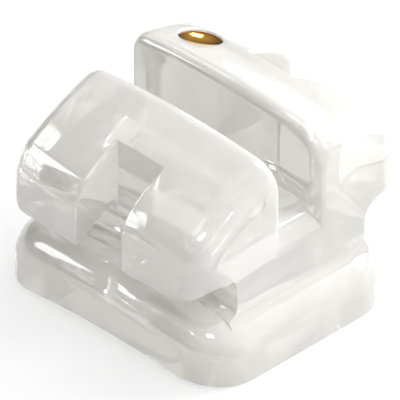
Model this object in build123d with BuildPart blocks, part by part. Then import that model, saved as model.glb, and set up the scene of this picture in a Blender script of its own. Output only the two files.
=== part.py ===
from build123d import *

import os
from math import asin, degrees, sqrt

# A ceramic twin orthodontic bracket with a gold identification dot, in millimetres.
# X runs along the archwire slot, Y across it, and Z away from the tooth.
# The origin is on the slot's mid-plane, halfway along it, level with the base's lowest edges.

# Base pad that is bonded to the tooth, and curved as the tooth is
TOOTH_RADIUS = 9.9
BASE_LENGTH = 3.72
BASE_WIDTH = 3.22
BASE_SHIFT = -0.165
BASE_BOW = 0.05
BASE_CORNER = 0.66
BASE_THICKNESS = 0.72
BASE_EDGE = 0.40

# Tie wings and their neck in plan, set in or out from the base
END_LEDGE = 0.26
TIP_OVERHANG = 0.23
NECK_LEDGE = 0.54
WING_BOW = 0.10

# Front wings' section, from the crown's height above the base downwards
FRONT_RISE = 1.79
FRONT_FACE_FALL = 0.30
FRONT_TIP_FALL = 0.53
FRONT_TIP_DEPTH = 0.85
FRONT_GROOVE_RISE = 0.82

# Rear wings' section, which stands higher
REAR_STEP = 0.12
REAR_FACE_FALL = 0.22
REAR_TIP_FALL = 0.46
REAR_TIP_DEPTH = 0.78
REAR_GROOVE_RISE = 0.22

# Roundings of the wings, the groove under them and the neck's foot
FRONT_TIP_ROUNDING = 0.60
REAR_TIP_ROUNDING = 0.45
LEFT_ROUNDING = 0.26
RIGHT_ROUNDING = 0.40
LIP_ROUNDING = 0.08
GROOVE_ROUNDING = 0.28
FOOT_ROUNDING = 0.16

# Archwire slot of the 0.022 inch system
SLOT_WIDTH = 0.56
SLOT_DEPTH = 0.99
SLOT_FLARE = 0.17
SLOT_RUNOUT = 0.45

# Notch that parts each pair of tie wings, with its back a step out from the neck
NOTCH_WIDTH = 0.76
NOTCH_STEP = 0.03
NOTCH_EDGE = 0.05

# Identification dot, sunk in one rear wing
DOT_FROM_END = 0.66
DOT_FROM_SLOT = 0.56
DOT_DIAMETER = 0.54
DOT_DEPTH = 0.12
DOT_SUNK = 0.04
DOT_DISH = 0.03
DOT_RIM = 0.03

# Worked out from the sizes above
wing_length = BASE_LENGTH - 2 * END_LEDGE
wing_span = BASE_WIDTH + 2 * TIP_OVERHANG
half_length = wing_length / 2
half_span = wing_span / 2
half_neck = BASE_WIDTH / 2 - NECK_LEDGE
half_slot = SLOT_WIDTH / 2
face_middle = (half_slot + half_span + WING_BOW) / 2
dot_radius = DOT_DIAMETER / 2
notch_back = half_neck + NOTCH_STEP
base_rise = TOOTH_RADIUS - sqrt(TOOTH_RADIUS**2 - (BASE_LENGTH / 2) ** 2)
tooth_centre = base_rise - TOOTH_RADIUS
tooth_axis = Axis((0, 0, tooth_centre), (0, 1, 0))
pad_middle = base_rise + BASE_THICKNESS / 2
pad_top = base_rise + BASE_THICKNESS
front_crown = pad_top + FRONT_RISE
rear_crown = front_crown + REAR_STEP
front_groove = front_crown - FRONT_FACE_FALL - FRONT_TIP_FALL - FRONT_TIP_DEPTH + FRONT_GROOVE_RISE
rear_groove = rear_crown - REAR_FACE_FALL - REAR_TIP_FALL - REAR_TIP_DEPTH + REAR_GROOVE_RISE
slot_floor = front_crown - SLOT_DEPTH
runout_foot = slot_floor - SLOT_RUNOUT
wing_sweep = degrees(asin(BASE_LENGTH / 2 / TOOTH_RADIUS))
beyond = BASE_LENGTH + BASE_WIDTH


def bowed_outline(length, width, bow):
    """A rectangle about the origin whose two long sides bow out by a little."""
    for side in (-1, 1):
        ThreePointArc(
            (-length / 2, side * (width / 2 - bow)),
            (0, side * width / 2),
            (length / 2, side * (width / 2 - bow)),
        )
        Line((side * length / 2, bow - width / 2), (side * length / 2, width / 2 - bow))


def wing_outline(side, crown, face_fall, tip_fall, tip_depth, groove):
    """One side of the wings' section, from the slot's foot over the tip to the neck's root."""
    overhang = side * (half_span + WING_BOW)
    tip_top = crown - face_fall - tip_fall
    Line((side * half_slot, runout_foot), (side * half_slot, crown))
    ThreePointArc((side * half_slot, crown), (side * face_middle, crown - face_fall), (overhang, tip_top))
    Polyline(
        (overhang, tip_top),
        (overhang, tip_top - tip_depth),
        (side * half_neck, groove),
        (side * half_neck, pad_middle),
    )


# Base pad: a rounded plan, curved along X as the tooth is, with a soft upper edge
with BuildPart() as base_pad:
    with BuildSketch(Plane((0, BASE_SHIFT, 0))) as pad_plan:
        with BuildLine():
            bowed_outline(BASE_LENGTH, BASE_WIDTH, BASE_BOW)
        make_face()
        fillet(pad_plan.vertices(), BASE_CORNER)
    extrude(amount=pad_top)
    with BuildSketch(Plane.XZ) as arch:
        with Locations((0, tooth_centre)):
            Circle(TOOTH_RADIUS + BASE_THICKNESS)
            Circle(TOOTH_RADIUS, mode=Mode.SUBTRACT)
    extrude(amount=beyond, both=True, mode=Mode.INTERSECT)
    fillet(base_pad.faces().sort_by(Axis.Z)[-1].edges(), BASE_EDGE)

# Tie wings: one section swept round the tooth's axis, trimmed to a bowed plan
with BuildPart() as tie_wings:
    with BuildSketch(Plane.YZ) as section:
        with BuildLine():
            wing_outline(-1, front_crown, FRONT_FACE_FALL, FRONT_TIP_FALL, FRONT_TIP_DEPTH, front_groove)
            wing_outline(1, rear_crown, REAR_FACE_FALL, REAR_TIP_FALL, REAR_TIP_DEPTH, rear_groove)
            Line((-half_slot, runout_foot), (half_slot, runout_foot))
            Line((-half_neck, pad_middle), (half_neck, pad_middle))
        make_face()
        for groove_corner in ((-half_neck, front_groove), (half_neck, rear_groove)):
            fillet(section.vertices().sort_by_distance(groove_corner)[0], GROOVE_ROUNDING)
    revolve(axis=tooth_axis, revolution_arc=wing_sweep)
    revolve(section.sketch, axis=tooth_axis, revolution_arc=-wing_sweep)
    with BuildSketch() as wing_plan:
        with BuildLine():
            bowed_outline(wing_length, wing_span, WING_BOW)
        make_face()
    extrude(amount=beyond, mode=Mode.INTERSECT)

    # The faces run round the tips, and then faces and tips run round the ends
    front_tip, *_, rear_tip = tie_wings.faces().sort_by(Axis.Y)
    labial = tie_wings.faces().sort_by(Axis.Z)[-2:]
    rear_rim = rear_tip.edges() & labial.edges()
    fillet(front_tip.edges() & labial.edges(), FRONT_TIP_ROUNDING)
    fillet(rear_rim, REAR_TIP_ROUNDING)
    labial = tie_wings.faces().sort_by(Axis.Z)[-2:]
    left_end, *_, right_end = tie_wings.faces().sort_by(Axis.X)
    right_rim = right_end.edges() & labial.edges()
    fillet(left_end.edges() & labial.edges(), LEFT_ROUNDING)
    fillet(right_rim, RIGHT_ROUNDING)
    front_tip, *_, rear_tip = tie_wings.faces().sort_by(Axis.Y)
    fillet([tip.edges().sort_by(Axis.Z)[0] for tip in (front_tip, rear_tip)], LIP_ROUNDING)

    # The slot's walls flare at its mouth and ends
    slot_walls = tie_wings.faces().filter_by(Axis.Y).sort_by(Axis.Z)[-2:]
    fillet([wall.edges().sort_by(Axis.Z)[-1] for wall in slot_walls], SLOT_FLARE)

    # The slot's floor is flat, and rounds down into the end walls
    with BuildSketch(Plane.XZ) as floor:
        with BuildLine():
            for side in (-1, 1):
                Line((side * half_length, pad_middle), (side * half_length, runout_foot))
                RadiusArc(
                    (side * half_length, runout_foot),
                    (side * (half_length - SLOT_RUNOUT), slot_floor),
                    side * -SLOT_RUNOUT,
                )
            Line((SLOT_RUNOUT - half_length, slot_floor), (half_length - SLOT_RUNOUT, slot_floor))
            Line((-half_length, pad_middle), (half_length, pad_middle))
        make_face()
    extrude(amount=half_slot + SLOT_FLARE, both=True)

    # Notches, with softened edges on the wings' cheeks
    with BuildSketch(Plane.XY.offset(pad_middle)) as notches:
        with Locations((0, notch_back + half_span), (0, -notch_back - half_span)):
            Rectangle(NOTCH_WIDTH, 2 * half_span)
    extrude(amount=beyond, mode=Mode.SUBTRACT)
    for side in (-1, 1):
        back_middle = (0, side * notch_back, slot_floor)
        for end in (-1, 1):
            cheek_middle = (end * NOTCH_WIDTH / 2, side * (notch_back + half_span) / 2, slot_floor)
            cheek = tie_wings.faces().filter_by(Axis.X).sort_by_distance(cheek_middle)[0]
            back = tie_wings.faces().filter_by(Axis.Y).sort_by_distance(back_middle)[0]
            fillet(cheek.edges() - back.edges(), NOTCH_EDGE)

dot_x = DOT_FROM_END - half_length
dot_y = half_slot + DOT_FROM_SLOT
rear_labial = labial.sort_by(Axis.Y)[-1]
dot_spot = rear_labial.location_at((dot_x, dot_y, rear_crown - REAR_FACE_FALL)).position
dot_plane = Plane(dot_spot, z_dir=rear_labial.normal_at(dot_spot))

# Body: base, neck, wings and slot are one piece of ceramic, with a recess for the dot
with BuildPart() as bracket_body:
    add(base_pad.part)
    add(tie_wings.part)
    fillet(bracket_body.edges(Select.NEW), FOOT_ROUNDING)
    with BuildSketch(dot_plane.offset(-DOT_DEPTH)) as recess:
        Circle(dot_radius)
    extrude(amount=2 * DOT_DEPTH, mode=Mode.SUBTRACT)
    recess_rim = bracket_body.edges(Select.LAST).sort_by(Axis(dot_spot, dot_plane.z_dir))[-1]
    fillet(recess_rim, DOT_RIM)

# Dot: a gold fill with a dished top, which lies in the recess
with BuildPart() as identification_dot:
    with BuildSketch(Plane(dot_spot, dot_plane.x_dir, -dot_plane.y_dir)) as fill:
        with BuildLine():
            Polyline(
                (0, -DOT_SUNK - DOT_DISH),
                (0, -DOT_DEPTH),
                (dot_radius, -DOT_DEPTH),
                (dot_radius, -DOT_SUNK),
            )
            TangentArc((0, -DOT_SUNK - DOT_DISH), (dot_radius, -DOT_SUNK), tangent=(1, 0))
        make_face()
    revolve(axis=Axis(dot_spot, dot_plane.z_dir))

os.makedirs("parts", exist_ok=True)
bracket_body.part.label = "bracket_body"
export_step(bracket_body.part, "parts/bracket_body.step")
identification_dot.part.label = "identification_dot"
export_step(identification_dot.part, "parts/identification_dot.step")
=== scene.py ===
from math import acos, atan2, pi, radians, sin, sqrt, tan

import bmesh
import bpy
from mathutils import Matrix, Vector


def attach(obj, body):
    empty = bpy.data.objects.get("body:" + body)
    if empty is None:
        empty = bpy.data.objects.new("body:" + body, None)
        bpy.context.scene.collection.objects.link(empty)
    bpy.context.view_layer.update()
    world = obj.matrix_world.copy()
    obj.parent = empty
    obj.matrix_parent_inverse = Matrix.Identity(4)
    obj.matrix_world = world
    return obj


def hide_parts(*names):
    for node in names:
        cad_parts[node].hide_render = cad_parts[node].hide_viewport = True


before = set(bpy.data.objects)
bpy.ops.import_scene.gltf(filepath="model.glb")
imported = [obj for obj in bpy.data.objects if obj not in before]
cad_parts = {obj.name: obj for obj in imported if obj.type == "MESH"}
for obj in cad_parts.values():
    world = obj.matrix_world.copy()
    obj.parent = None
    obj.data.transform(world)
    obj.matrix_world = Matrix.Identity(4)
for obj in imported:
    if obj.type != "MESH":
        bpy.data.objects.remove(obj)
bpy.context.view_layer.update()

# Sizes of the bracket in millimetres, as in the part's source, and made metres by MM
MM = 0.001

# Base pad, curved as the tooth is
TOOTH_RADIUS = 9.9
BASE_LENGTH = 3.72
BASE_WIDTH = 3.22
BASE_SHIFT = -0.165
BASE_BOW = 0.05
BASE_CORNER = 0.66
BASE_THICKNESS = 0.72
BASE_EDGE = 0.40

# Tie wings and their neck in plan, set in or out from the base
END_LEDGE = 0.26
TIP_OVERHANG = 0.23
NECK_LEDGE = 0.54
WING_BOW = 0.10

# Front wings' section, from the crown's height above the base downwards
FRONT_RISE = 1.79
FRONT_FACE_FALL = 0.30
FRONT_TIP_FALL = 0.53
FRONT_TIP_DEPTH = 0.85
FRONT_GROOVE_RISE = 0.82
FRONT_TIP_ROUNDING = 0.60

# Rear wings' section, which stands higher
REAR_STEP = 0.12
REAR_FACE_FALL = 0.22
REAR_TIP_FALL = 0.46
REAR_TIP_DEPTH = 0.78
REAR_GROOVE_RISE = 0.22
REAR_TIP_ROUNDING = 0.45

# Roundings of the wings' ends and lips, the groove under them and the neck's foot
LEFT_ROUNDING = 0.26
RIGHT_ROUNDING = 0.40
LIP_ROUNDING = 0.08
GROOVE_ROUNDING = 0.28
FOOT_ROUNDING = 0.16

# Archwire slot
SLOT_WIDTH = 0.56
SLOT_DEPTH = 0.99
SLOT_FLARE = 0.17
SLOT_RUNOUT = 0.45

# Notch that parts each pair of tie wings
NOTCH_WIDTH = 0.76
NOTCH_STEP = 0.03
NOTCH_EDGE = 0.05

# Identification dot, sunk in one rear wing
DOT_FROM_END = 0.66
DOT_FROM_SLOT = 0.56
DOT_DIAMETER = 0.54
DOT_DEPTH = 0.12
DOT_SUNK = 0.04
DOT_DISH = 0.03
DOT_RIM = 0.03

# Worked out from the sizes above
half_length = BASE_LENGTH / 2 - END_LEDGE
half_span = BASE_WIDTH / 2 + TIP_OVERHANG
half_neck = BASE_WIDTH / 2 - NECK_LEDGE
half_slot = SLOT_WIDTH / 2
half_notch = NOTCH_WIDTH / 2
notch_back = half_neck + NOTCH_STEP
base_rise = TOOTH_RADIUS - sqrt(TOOTH_RADIUS**2 - (BASE_LENGTH / 2) ** 2)
tooth_centre = base_rise - TOOTH_RADIUS
pad_middle = base_rise + BASE_THICKNESS / 2
pad_top = base_rise + BASE_THICKNESS
front_crown = pad_top + FRONT_RISE
slot_floor = front_crown - SLOT_DEPTH
dot_radius = DOT_DIAMETER / 2

# How finely roundings, faces and the dot are cut
ROUND_CUTS = 10
FACE_ROWS = 14
EVEN_ROWS = 20
FOOT_CUTS = 4
RIM_CUTS = 4
DISH_CUTS = 12
DOT_CUTS = 96

# The least distance that counts as one, how close to a cut counts as on it, and the widest sliver
NEAR = 0.0005
ON_CUT = NEAR / 10
SLIVER = 0.0001

# Edges that fold by more degrees than this stay sharp, and large faces lead the shading of the rest
SHARP_FOLD = 32
LARGE_FACE_LEAD = 100

# Where the faces' own rows start and stop, as shares of the roundings beside them
PAST_MOUTH = 2.6
PAST_TIP = 0.6

# Roundings where the wings and the slot's floor end, by side
END_ROUNDS = [(-1, LEFT_ROUNDING), (1, RIGHT_ROUNDING)]
END_ROUNDS += [(side, radius) for side in (-1, 1) for radius in (SLOT_RUNOUT, SLOT_FLARE)]

# The foot's rounding runs out over the base's rear corners, where there is little flat
FOOT_TAPER = 0.3
REAR_CORNER_CUT = 0.7


def rounded(radius, past):
    """How far a rounding has fallen away, at a distance past its start."""
    reach = min(max(past, 0), radius)
    return radius - sqrt(radius**2 - reach**2)


def bent(x, height):
    """Height of a point of the section after it is swept round the tooth's axis to x."""
    return tooth_centre + sqrt((height - tooth_centre) ** 2 - x**2)


class Wing:
    """One side of the wings' section: its face is an arc, and its groove's roof a line."""

    def __init__(self, side, crown, face_fall, tip_fall, tip_depth, groove_rise, tip_rounding):
        self.side = side
        self.crown = crown
        self.tip_rounding = tip_rounding
        reach = half_span + WING_BOW
        middle = (half_slot + reach) / 2
        first_slope = face_fall / (middle - half_slot)
        second_slope = tip_fall / (reach - middle)
        tip_bottom = crown - face_fall - tip_fall - tip_depth
        self.groove = tip_bottom + groove_rise
        self.roof_slope = (self.groove - tip_bottom) / (reach - half_neck)
        self.roof_end = tip_bottom + self.roof_slope * WING_BOW
        # The arc's centre is where the lines through its two chords' middles, square to them, meet
        start = Vector((half_slot, crown))
        mid = Vector((middle, crown - face_fall))
        end = Vector((reach, crown - face_fall - tip_fall))
        one, two = (start + mid) / 2, (mid + end) / 2
        along_one, along_two = Vector((-first_slope, -1)), Vector((-second_slope, -1))
        turn = along_one.x * along_two.y - along_one.y * along_two.x
        gap = two - one
        self.centre = one + along_one * ((gap.x * along_two.y - gap.y * along_two.x) / turn)
        self.radius = (start - self.centre).length

    def face(self, y):
        """Height of the face at a distance from the slot's middle."""
        return self.centre.y + sqrt(self.radius**2 - (y - self.centre.x) ** 2)

    def slope(self, y):
        """How steeply the face falls there."""
        return (y - self.centre.x) / (self.face(y) - self.centre.y)

    def roof(self, y):
        """Height of the groove's roof there: an arc from the neck, then a line to the tip."""
        steep = sqrt(1 + self.roof_slope**2)
        arc_end = half_neck + GROOVE_ROUNDING * (1 + self.roof_slope / steep)
        if y > arc_end:
            return self.groove - self.roof_slope * (y - half_neck)
        hub = self.groove - self.roof_slope * (arc_end - half_neck) - GROOVE_ROUNDING / steep
        return hub + sqrt(max(0, GROOVE_ROUNDING**2 - (half_neck + GROOVE_ROUNDING - y) ** 2))


front = Wing(-1, front_crown, FRONT_FACE_FALL, FRONT_TIP_FALL, FRONT_TIP_DEPTH,
             FRONT_GROOVE_RISE, FRONT_TIP_ROUNDING)
rear = Wing(1, front_crown + REAR_STEP, REAR_FACE_FALL, REAR_TIP_FALL, REAR_TIP_DEPTH,
            REAR_GROOVE_RISE, REAR_TIP_ROUNDING)


def finished(bm, name):
    """An object of the finished mesh, in metres, at the origin."""
    bmesh.ops.scale(bm, vec=(MM, MM, MM), verts=bm.verts)
    mesh = bpy.data.meshes.new(name)
    bm.to_mesh(mesh)
    bm.free()
    piece = bpy.data.objects.new(name, mesh)
    bpy.context.scene.collection.objects.link(piece)
    return piece


def cut_rows(bm, axis, places):
    """Cuts a row of edges all round the mesh at each place along an axis."""
    for place in places:
        everything = bm.verts[:] + bm.edges[:] + bm.faces[:]
        bmesh.ops.bisect_plane(bm, geom=everything, dist=ON_CUT, plane_co=axis * place, plane_no=axis)


def round_corner(bm, y, z, radius, opening):
    """Rounds a corner of the section whose sides open by an angle; gives the new vertices."""
    corner = min(bm.verts, key=lambda v: (v.co.y - y) ** 2 + (v.co.z - z) ** 2)
    made = bmesh.ops.bevel(
        bm, geom=[corner], offset=radius / tan(opening / 2), segments=ROUND_CUTS, profile=0.5,
        affect="VERTICES", material=-1,
    )
    return made["verts"]


def make_wings():
    """The wings, neck and slot: a section drawn out along X, then shaped by place."""
    bm = bmesh.new()
    inset = bm.verts.layers.float_vector.new("inset")
    slide = bm.verts.layers.float_vector.new("slide")
    flare = bm.verts.layers.float.new("flare")
    under = bm.verts.layers.float.new("under")
    corners = []
    for wing, order in ((front, 1), (rear, -1)):
        run = [
            (half_neck, pad_middle),
            (half_neck, wing.groove),
            (half_span, wing.roof_end),
            (half_span, wing.face(half_span)),
            (half_slot, wing.crown),
            (half_slot, slot_floor),
        ]
        corners += [(-half_length, wing.side * y, z) for y, z in run[::order]]
    bm.faces.new([bm.verts.new(corner) for corner in corners])

    # Each kind of vertex gets the way it goes at the rounded ends and along the bowed tips
    near_mouth = half_slot + PAST_MOUTH * SLOT_FLARE
    for wing in (front, rear):
        side = wing.side
        near_tip = half_span - PAST_TIP * wing.tip_rounding
        tip_slope, mouth_slope = wing.slope(half_span), wing.slope(half_slot)
        chord = [e for e in bm.edges if all(v.co.y * side > half_slot - NEAR for v in e.verts)
                 and min(v.co.z for v in e.verts) > wing.face(half_span) - NEAR
                 and abs(e.verts[0].co.y - e.verts[1].co.y) > NEAR]
        made = bmesh.ops.subdivide_edges(bm, edges=chord, cuts=FACE_ROWS)
        inner = [v for v in made["geom_inner"] if isinstance(v, bmesh.types.BMVert)]
        inner.sort(key=lambda v: abs(v.co.y))
        for step, v in enumerate(inner):
            out = near_mouth + (near_tip - near_mouth) * step / (len(inner) - 1)
            v.co = (v.co.x, side * out, wing.face(out))
            share = (out - half_slot) / (half_span - half_slot)
            v[inset] = Vector((0, side * wing.slope(out), 1)).normalized()
            v[slide] = (0, -side * share, share * wing.slope(out))
        roof_angle = atan2(1, wing.roof_slope)
        for v in round_corner(bm, side * half_neck, wing.groove, GROOVE_ROUNDING, roof_angle):
            v[under] = 1
        for v in round_corner(bm, side * half_span, wing.roof_end, LIP_ROUNDING, roof_angle):
            v[under] = 1
            v[inset] = (0, side, 0)
            v[slide] = (0, -side, 0)
        tip_angle = pi / 2 + atan2(tip_slope, 1)
        tip_arc = round_corner(bm, side * half_span, wing.face(half_span), wing.tip_rounding, tip_angle)
        start = min(tip_arc, key=lambda v: abs(v.co.y))
        hub = start.co - Vector((0, side * tip_slope, 1)).normalized() * wing.tip_rounding
        for v in tip_arc:
            v[inset] = (v.co - hub).normalized()
            v[slide] = (0, -side, tip_slope)
        mouth_angle = pi / 2 - atan2(mouth_slope, 1)
        for v in round_corner(bm, side * half_slot, wing.crown, SLOT_FLARE, mouth_angle):
            v[inset] = (0, 0, sqrt(1 + mouth_slope**2))
            v[flare] = 1

    # Drawn out along the slot, with rows of edges where the shape turns
    whole = bmesh.ops.extrude_face_region(bm, geom=bm.faces[:])
    moved = [v for v in whole["geom"] if isinstance(v, bmesh.types.BMVert)]
    bmesh.ops.translate(bm, vec=(2 * half_length, 0, 0), verts=moved)
    turns = [sin(pi / 2 * step / ROUND_CUTS) for step in range(ROUND_CUTS)]
    ends = {side * (half_length - radius * (1 - turn)) for turn in turns for side, radius in END_ROUNDS}
    cheeks = {side * (half_notch + NOTCH_EDGE * (1 - turn)) for side in (-1, 1) for turn in turns}
    cheeks |= {side * (half_notch - step) for side in (-1, 1) for step in (0, 2 * NEAR)}
    even = {half_length * step / EVEN_ROWS for step in range(1 - EVEN_ROWS, EVEN_ROWS)}
    cut_rows(bm, Vector((1, 0, 0)), sorted(ends | cheeks | even))
    taper_start = half_neck - FOOT_TAPER
    cut_rows(bm, Vector((0, 1, 0)), [-notch_back, -taper_start, taper_start, notch_back])
    for wing in (front, rear):
        back = [v.co.z for v in bm.verts if abs(v.co.y * wing.side - notch_back) < NEAR]
        wing.notch_top, wing.notch_bottom = max(back), min(back)
    foot_rows = [FOOT_ROUNDING * (step / FOOT_CUTS - 1) for step in range(2 * FOOT_CUTS + 1)]
    cut_rows(bm, Vector((0, 0, 1)), [pad_top + row for row in foot_rows])
    for v in bm.verts:
        v.co = shaped(v.co, v[inset], v[slide], v[flare], v[under] > 1 - NEAR)
    return bm


def shaped(place, inset, slide, flare, under):
    """Where a point of the straight section goes on the finished wings."""
    x, y, z = place
    side = 1 if y > 0 else -1
    wing = rear if y > 0 else front
    past = abs(x) - half_length
    end_radius = RIGHT_ROUNDING if x > 0 else LEFT_ROUNDING
    end = rounded(end_radius, past + end_radius)
    bow = WING_BOW * (x / half_length) ** 2
    widen = rounded(SLOT_FLARE, past + SLOT_FLARE)
    if abs(y) < half_slot + NEAR and z < slot_floor + NEAR:
        y *= 1 + widen / half_slot
        return Vector((x, y, z - rounded(SLOT_RUNOUT, past + SLOT_RUNOUT)))
    if under:
        # Lip, roof and groove draw in towards the neck, and stay on the groove's roof
        narrowed = 1 - (end + bow) / (half_span - half_neck)
        out = half_neck + (abs(y) - half_neck) * narrowed
        z += wing.roof(out) - wing.roof(abs(y))
        y = side * out
    else:
        y += slide.y * bow - inset.y * end + side * flare * widen
        z += slide.z * bow - inset.z * end
    if abs(y) > notch_back + NEAR and abs(x) < half_notch + NOTCH_EDGE:
        # The notch's cheeks are softly edged, and its back is a plain wall
        top, bottom = wing.notch_top, wing.notch_bottom
        hub = Vector((notch_back, (top + bottom) / 2))
        arm = Vector((abs(y), z)) - hub
        if abs(x) > half_notch - NEAR:
            soft = rounded(NOTCH_EDGE, half_notch + NOTCH_EDGE - abs(x))
            out, z = hub + arm * (1 - soft / arm.length)
            y = side * out
        else:
            y = side * notch_back
            z = top + (bottom - top) * acos(arm.y / arm.length) / pi
    if z < pad_top + FOOT_ROUNDING:
        return foot(x, y, z)
    return Vector((x, y, bent(x, z)))


def foot(x, y, z):
    """Where a point of the neck's foot goes: it spreads by a rounding that rolls on the base."""
    near_end = max(0, (abs(x) - half_length) / FOOT_TAPER + 1)
    near_rear = max(0, (y - half_neck) / FOOT_TAPER + 1)
    spread = FOOT_ROUNDING * (1 - REAR_CORNER_CUT * near_end * near_rear)
    height = bent(x, z)
    edge = BASE_WIDTH / 2 - BASE_EDGE
    if abs(y) > half_neck - NEAR:
        side = 1 if y > 0 else -1
        y += side * rolled(spread, z, half_neck + spread - edge - side * BASE_SHIFT)
    if abs(x) > half_length - NEAR:
        end = 1 if x > 0 else -1
        x += end * rolled(spread, z, half_length + spread - BASE_LENGTH / 2 + BASE_EDGE)
    return Vector((x, y, height))


def rolled(radius, z, past):
    """How far a foot rounding spreads at a height, where its ball rests past the base's flat top."""
    over = max(0, past) / (BASE_EDGE + radius)
    ball = pad_top - BASE_EDGE + (BASE_EDGE + radius) * sqrt(1 - over**2)
    return rounded(radius, min(ball - z, radius * sqrt(1 - over**2)))


def make_base():
    """The pad: a rounded plan drawn up, softened at its upper edge, then bent as the tooth is."""
    bm = bmesh.new()
    long, wide = BASE_LENGTH / 2, BASE_WIDTH / 2
    plan = [(-long, -wide), (long, -wide), (long, wide), (-long, wide)]
    bm.faces.new([bm.verts.new((x, y, 0)) for x, y in plan])
    bmesh.ops.bevel(
        bm, geom=bm.verts[:], offset=BASE_CORNER, segments=2 * ROUND_CUTS, profile=0.5,
        affect="VERTICES", material=-1,
    )
    whole = bmesh.ops.extrude_face_region(bm, geom=bm.faces[:])
    top = [v for v in whole["geom"] if isinstance(v, bmesh.types.BMVert)]
    bmesh.ops.translate(bm, vec=(0, 0, BASE_THICKNESS), verts=top)
    bmesh.ops.recalc_face_normals(bm, faces=bm.faces)
    rim = [e for e in bm.edges if all(v.co.z > BASE_THICKNESS - NEAR for v in e.verts)]
    bmesh.ops.bevel(
        bm, geom=rim, offset=BASE_EDGE, segments=ROUND_CUTS, profile=0.5, affect="EDGES", material=-1,
    )
    straight = long - BASE_CORNER
    steps = range(1 - ROUND_CUTS, ROUND_CUTS)
    cut_rows(bm, Vector((1, 0, 0)), [straight * step / ROUND_CUTS for step in steps])
    for v in bm.verts:
        bow = BASE_BOW * (v.co.x / long) ** 2 * v.co.y / wide
        v.co = (v.co.x, v.co.y - bow + BASE_SHIFT, bent(v.co.x, base_rise + v.co.z))
    return bm


def turned(profile, place):
    """A closed form from a half profile of radius and height, spun about its axis and put in place."""
    bm = bmesh.new()
    verts = [bm.verts.new((r, 0, z)) for r, z in profile]
    edges = [bm.edges.new(pair) for pair in zip(verts, verts[1:])]
    bmesh.ops.spin(
        bm, geom=verts + edges, cent=(0, 0, 0), axis=(0, 0, 1), dvec=(0, 0, 0), angle=2 * pi,
        steps=DOT_CUTS, use_merge=True,
    )
    bmesh.ops.remove_doubles(bm, verts=bm.verts, dist=NEAR)
    bmesh.ops.recalc_face_normals(bm, faces=bm.faces)
    bmesh.ops.transform(bm, matrix=place, verts=bm.verts)
    return bm


def dot_place():
    """The dot's place: on the rear wing's swept face, square to it."""
    x, y = DOT_FROM_END - half_length, half_slot + DOT_FROM_SLOT
    height = bent(x, rear.face(y))
    fall = rear.slope(y)
    lean = x * sqrt(1 + fall**2) / (height - tooth_centre)
    up = Vector((lean, fall, 1)).normalized()
    guess = Vector((x, y, rear.crown - REAR_FACE_FALL))
    spot = guess + up * ((height - guess.z) * up.z)
    return Matrix.Translation(spot) @ up.to_track_quat("Z", "X").to_matrix().to_4x4()


def joined(body, other, way):
    """Joins or cuts the body with another form, which then goes."""
    tool = body.modifiers.new(way.lower(), "BOOLEAN")
    tool.operation = way
    tool.solver = "EXACT"
    tool.object = other
    graph = bpy.context.evaluated_depsgraph_get()
    mesh = bpy.data.meshes.new_from_object(body.evaluated_get(graph))
    # Where two surfaces meet almost level, the join leaves slivers, which are merged away
    bm = bmesh.new()
    bm.from_mesh(mesh)
    bmesh.ops.remove_doubles(bm, verts=bm.verts, dist=SLIVER * MM)
    bm.to_mesh(mesh)
    bm.free()
    body.modifiers.clear()
    body.data = mesh
    bpy.data.objects.remove(other)


wings = make_wings()
bmesh.ops.recalc_face_normals(wings, faces=wings.faces)
bracket = finished(wings, "ceramic_bracket")
joined(bracket, finished(make_base(), "base_pad"), "UNION")

# The recess has a rounded rim, and the fill in it has a dished top
here = dot_place()
bottom = [(0, -DOT_DEPTH), (dot_radius, -DOT_DEPTH)]
rises = [step / RIM_CUTS for step in range(RIM_CUTS + 1)]
rim = [(dot_radius + rounded(DOT_RIM, DOT_RIM * rise), DOT_RIM * (rise - 1)) for rise in rises]
mouth = [(dot_radius + DOT_RIM, DOT_DEPTH), (0, DOT_DEPTH)]
joined(bracket, finished(turned(bottom + rim + mouth, here), "recess_cutter"), "DIFFERENCE")
shares = [step / DISH_CUTS for step in range(DISH_CUTS, -1, -1)]
dish = [(dot_radius * share, -DOT_SUNK - DOT_DISH * (1 - share**2)) for share in shares]
dot = finished(turned(bottom + dish, here), "gold_dot")

for piece in (bracket, dot):
    for polygon in piece.data.polygons:
        polygon.use_smooth = True
    piece.data.set_sharp_from_angle(angle=radians(SHARP_FOLD))
    weights = piece.modifiers.new("even_shading", "WEIGHTED_NORMAL")
    weights.weight = LARGE_FACE_LEAD
    weights.keep_sharp = True


def linear(hex_colour):
    """A linear colour from its sRGB hex value, by the standard curve."""
    channels = [int(hex_colour[i:i + 2], 16) / 255 for i in (1, 3, 5)]
    return tuple(c / 12.92 if c <= 0.04045 else ((c + 0.055) / 1.055) ** 2.4 for c in channels) + (1,)


def add(tree, kind, links=None, **settings):
    """Adds a node with its settings, input values and links."""
    node = tree.nodes.new(kind)
    for name, value in settings.items():
        if name.replace("_", " ") in node.inputs:
            node.inputs[name.replace("_", " ")].default_value = value
        else:
            setattr(node, name, value)
    for name, source in (links or {}).items():
        tree.links.new(source, node.inputs[name])
    return node


def shader(name, **values):
    """A new material with its Principled shader set."""
    material = bpy.data.materials.new(name)
    material.use_nodes = True
    principled = material.node_tree.nodes["Principled BSDF"]
    for socket, value in values.items():
        principled.inputs[socket.replace("_", " ")].default_value = value
    return material, principled


WHITE = (1, 1, 1, 1)

# How many finer layers of noise a cloud and a grain have
CLOUD_LAYERS = 2
GRAIN_LAYERS = 3

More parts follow.
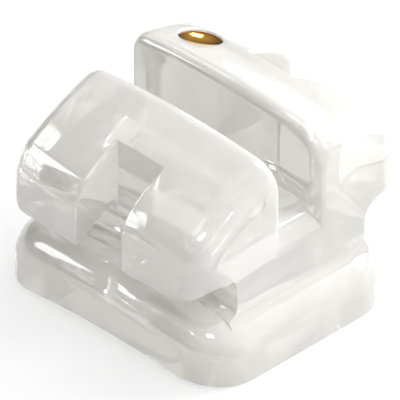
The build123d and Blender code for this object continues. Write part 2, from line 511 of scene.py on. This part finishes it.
# Polycrystalline alumina, sintered and polished: a warm milky white that lets light in, under a hard gloss
ALUMINA_IOR = 1.76
ALUMINA_CLEAR_SHARE = 0.56
ALUMINA_CLOUD = 0.9
ALUMINA_COLOURS = ((0.3, "#EDECE7"), (0.7, "#F5F3EF"))
ALUMINA_GRAIN = 0.06
ALUMINA_GLOSS = (0.01, 0.06)
ALUMINA_RELIEF = 0.002
ALUMINA_RELIEF_SHARE = 0.05
alumina, surface = shader("polished_alumina", IOR=ALUMINA_IOR, Transmission_Weight=ALUMINA_CLEAR_SHARE)
tree = alumina.node_tree
place = add(tree, "ShaderNodeTexCoord").outputs["Object"]
# Sintering leaves the body a little cloudy, paler in some places than in others
cloud = add(
    tree, "ShaderNodeTexNoise", {"Vector": place},
    Scale=1 / (ALUMINA_CLOUD * MM), Detail=CLOUD_LAYERS,
)
tint = add(tree, "ShaderNodeValToRGB", {"Fac": cloud.outputs["Fac"]})
for stop, (position, colour) in zip(tint.color_ramp.elements, ALUMINA_COLOURS):
    stop.position = position
    stop.color = linear(colour)
tree.links.new(tint.outputs["Color"], surface.inputs["Base Color"])
# Grains of a few microns are drawn coarser, so that they still break up the gloss a little
grain = add(
    tree, "ShaderNodeTexNoise", {"Vector": place},
    Scale=1 / (ALUMINA_GRAIN * MM), Detail=GRAIN_LAYERS,
)
gloss = add(
    tree, "ShaderNodeMapRange", {"Value": grain.outputs["Fac"]},
    To_Min=ALUMINA_GLOSS[0], To_Max=ALUMINA_GLOSS[1],
)
tree.links.new(gloss.outputs["Result"], surface.inputs["Roughness"])
polish = add(
    tree, "ShaderNodeBump", {"Height": grain.outputs["Fac"]},
    Strength=ALUMINA_RELIEF_SHARE, Distance=ALUMINA_RELIEF * MM,
)
tree.links.new(polish.outputs["Normal"], surface.inputs["Normal"])
bracket.data.materials.clear()
bracket.data.materials.append(alumina)

# Gold fill, burnished in its recess: a deep warm yellow metal, with painted shade that darkens it towards
# the recess's rim
GOLD_AND_RIM_SHADE_COLOURS = ((0, "#EAAA2C"), (1, "#8A5614"))
GOLD_RIM_SHADE_FROM = 0.55
GOLD_GRAIN = 0.03
GOLD_GLOSS = (0.03, 0.12)
GOLD_RELIEF = 0.003
GOLD_RELIEF_SHARE = 0.1
gold, metal = shader("burnished_gold", Metallic=1.0)
tree = gold.node_tree
place = add(tree, "ShaderNodeTexCoord").outputs["Object"]
# Painted shade: from part way out, the gold's colour is darkened to a deep brown at the rim of its recess
from_middle = add(tree, "ShaderNodeVectorMath", {0: place}, operation="DISTANCE")
from_middle.inputs[1].default_value = here.translation * MM
reach = add(
    tree, "ShaderNodeMapRange", {"Value": from_middle.outputs["Value"]},
    From_Min=GOLD_RIM_SHADE_FROM * dot_radius * MM, From_Max=dot_radius * MM,
)
shade = add(tree, "ShaderNodeValToRGB", {"Fac": reach.outputs["Result"]})
for stop, (position, colour) in zip(shade.color_ramp.elements, GOLD_AND_RIM_SHADE_COLOURS):
    stop.position = position
    stop.color = linear(colour)
tree.links.new(shade.outputs["Color"], metal.inputs["Base Color"])
# Burnishing marks are drawn a little coarser than they are
marks = add(
    tree, "ShaderNodeTexNoise", {"Vector": place},
    Scale=1 / (GOLD_GRAIN * MM), Detail=GRAIN_LAYERS,
)
sheen = add(
    tree, "ShaderNodeMapRange", {"Value": marks.outputs["Fac"]},
    To_Min=GOLD_GLOSS[0], To_Max=GOLD_GLOSS[1],
)
tree.links.new(sheen.outputs["Result"], metal.inputs["Roughness"])
dents = add(
    tree, "ShaderNodeBump", {"Height": marks.outputs["Fac"]},
    Strength=GOLD_RELIEF_SHARE, Distance=GOLD_RELIEF * MM,
)
tree.links.new(dents.outputs["Normal"], metal.inputs["Normal"])
dot.data.materials.clear()
dot.data.materials.append(gold)

for piece, node, finish in ((bracket, "bracket_body", "ceramic"), (dot, "identification_dot", "gold_fill")):
    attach(piece, "root")
    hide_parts(node)

# A plain white floor, lit from below a little, as a light table is
FLOOR_SIZE = 60
PAPER_FIBRE = 0.5
PAPER_COLOURS = ((0, "#8C8C8C"), (1, "#949494"))
PAPER_ROUGHNESS = 0.9
PAPER_GLOW = 0.6
floor_mesh = bmesh.new()
bmesh.ops.create_grid(floor_mesh, x_segments=1, y_segments=1, size=FLOOR_SIZE)
floor = finished(floor_mesh, "floor")
# White paper: matt, with a faint mottle of fibres
paper, sheet = shader(
    "white_paper", Roughness=PAPER_ROUGHNESS, Emission_Color=WHITE, Emission_Strength=PAPER_GLOW,
)
tree = paper.node_tree
place = add(tree, "ShaderNodeTexCoord").outputs["Object"]
fibres = add(tree, "ShaderNodeTexNoise", {"Vector": place}, Scale=1 / (PAPER_FIBRE * MM))
mottle = add(tree, "ShaderNodeValToRGB", {"Fac": fibres.outputs["Fac"]})
for stop, (position, colour) in zip(mottle.color_ramp.elements, PAPER_COLOURS):
    stop.position = position
    stop.color = linear(colour)
tree.links.new(mottle.outputs["Color"], sheet.inputs["Base Color"])
floor.data.materials.append(paper)

# Plain studio light: a white tent, brightest overhead and to the right, with square softboxes
BRIGHT_SIDE = (0.50, 0.32, 0.80)
TENT_FADE = (-0.2, 0.85)
TENT_GLOW = (0.02, 1.55)
world = bpy.data.worlds.new("studio")
world.use_nodes = True
tent = world.node_tree
ray = add(tent, "ShaderNodeTexCoord")
facing = add(tent, "ShaderNodeVectorMath", {0: ray.outputs["Generated"]}, operation="DOT_PRODUCT")
facing.inputs[1].default_value = BRIGHT_SIDE
glow = add(
    tent, "ShaderNodeMapRange", {"Value": facing.outputs["Value"]},
    From_Min=TENT_FADE[0], From_Max=TENT_FADE[1], To_Min=TENT_GLOW[0], To_Max=TENT_GLOW[1],
)
tent.links.new(glow.outputs["Result"], tent.nodes["Background"].inputs["Strength"])
tent.nodes["Background"].inputs["Color"].default_value = WHITE
bpy.context.scene.world = world
bpy.context.scene.view_settings.view_transform = "Standard"


def softbox(name, place, size, glow):
    """A square light that faces the bracket's middle, and glows as a white sheet does."""
    light = bpy.data.lights.new(name, "AREA")
    light.shape = "SQUARE"
    light.size = size * MM
    light.energy = glow * pi * (size * MM) ** 2
    lamp = bpy.data.objects.new(name, light)
    lamp.location = Vector(place) * MM
    aim = Vector((0, 0, pad_top)) * MM
    lamp.rotation_euler = (lamp.location - aim).to_track_quat("Z", "Y").to_euler()
    bpy.context.scene.collection.objects.link(lamp)


# Each softbox's name, place, size and glow; the small one shows as a square in the gold
SOFTBOXES = (
    ("key_light", (10, -8, 15), 4, 7),
    ("fill_light", (-14, -10, 10), 5, 6),
    ("back_light", (6, 15, 9), 12, 6),
    ("spark_light", (-11.6, 16.3, 9.2), 1.8, 26),
    ("top_light", (2, 8, 20), 7, 6),
)
for name, spot, width, brightness in SOFTBOXES:
    softbox(name, spot, width, brightness)

# An isometric camera without perspective: 84 pixels to a millimetre in a picture of 400
PIXELS = 400
PIXELS_PER_MM = 84
ORIGIN_PIXEL = (206, 279.1)
CAMERA_DISTANCE = 30
VIEW_DEPTH = 100
lens = bpy.data.cameras.new("camera")
lens.type = "ORTHO"
lens.ortho_scale = PIXELS / PIXELS_PER_MM * MM
lens.clip_start = MM
lens.clip_end = VIEW_DEPTH * MM
camera = bpy.data.objects.new("camera", lens)
back = Vector((1, -1, 1)).normalized()
right = Vector((1, 1, 0)).normalized()
over = back.cross(right)
middle = (PIXELS / 2 - ORIGIN_PIXEL[0]) * right + (ORIGIN_PIXEL[1] - PIXELS / 2) * over
camera.location = middle * MM / PIXELS_PER_MM + back * CAMERA_DISTANCE * MM
camera.rotation_euler = back.to_track_quat("Z", "Y").to_euler()
bpy.context.scene.collection.objects.link(camera)
bpy.context.scene.camera = camera
